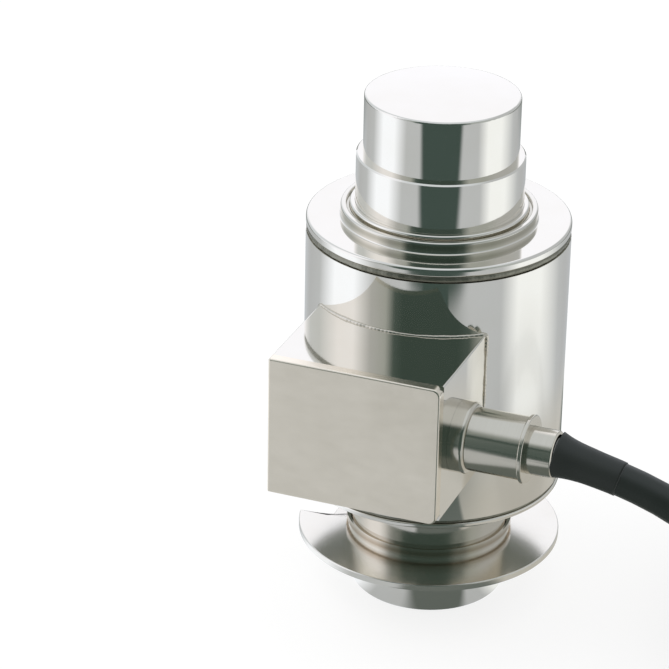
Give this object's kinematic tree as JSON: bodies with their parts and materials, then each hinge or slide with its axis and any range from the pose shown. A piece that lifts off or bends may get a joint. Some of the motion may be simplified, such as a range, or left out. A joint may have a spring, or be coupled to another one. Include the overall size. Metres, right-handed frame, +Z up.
{
  "type": "column load cell",
  "caption": "Compression load cell: a polished steel column in a welded round housing, with a side cable box, a notched anti-rotation disc and a crowned load button.",
  "frame": {"origin": "on the column's axis, at the underside of the base", "axes": "+Z up along the column towards the crowned button, -Y towards the cable box's front plate, +X the way the cable leaves the box, and -X towards the disc's notch"},
  "size_m": [0.2553, 0.1573, 0.15],
  "materials": {
    "polished_stainless": "mirror polished stainless steel",
    "tinted_stainless": "polished stainless steel with a straw heat tint beside the welds",
    "satin_stainless": "fine satin",
    "nickelled_brass": "nickel plated, turned",
    "tinned_brass": "tinned",
    "black_rubber": "smooth, slightly glossy",
    "cable_jacket": "smooth black cable jacket",
    "tie_nylon": "moulded black nylon",
    "core_insulation": "coloured core insulation",
    "white_nylon": "natural nylon",
    "glass_epoxy": "glass epoxy laminate with solder mask",
    "resistor_enamel": "enamel coat",
    "loom_sleeve": "white sleeving",
    "gauge_film": "amber polyimide film on a metal foil grid"
  },
  "bodies": {
    "root": {"load_column": "polished_stainless", "anti_rotation_disc": "polished_stainless", "lower_seal_sleeve": "tinted_stainless", "housing_base_plate": "polished_stainless", "housing_tube": "polished_stainless", "housing_cover_plate": "polished_stainless", "upper_diaphragm": "polished_stainless", "junction_box_shell": "polished_stainless", "junction_box_cover": "satin_stainless", "gland_body": "nickelled_brass", "gland_o_ring": "black_rubber", "gland_lock_nut": "nickelled_brass", "gland_nut": "nickelled_brass", "gland_seal": "black_rubber", "gland_washer": "white_nylon", "cable_ferrule": "nickelled_brass", "cable_boot": "black_rubber", "cable_inner_end": "cable_jacket", "cable_inner_cores": "core_insulation", "cable": "cable_jacket", "cable_coil": "cable_jacket", "coil_ties": "tie_nylon", "cable_tail": "cable_jacket", "cable_end_sleeve": "black_rubber", "cable_end_wires": "core_insulation", "terminal_board": "glass_epoxy", "board_standoffs": "satin_stainless", "board_screws": "satin_stainless", "solder_posts": "tinned_brass", "trim_resistors": "resistor_enamel", "wire_feedthrough": "white_nylon", "gauge_loom": "loom_sleeve", "loom_tails": "core_insulation", "axial_strain_gauges": "gauge_film", "transverse_strain_gauges": "gauge_film", "gauge_tab_strips": "glass_epoxy", "bridge_ring_wire": "loom_sleeve"}
  },
  "joints": []
}
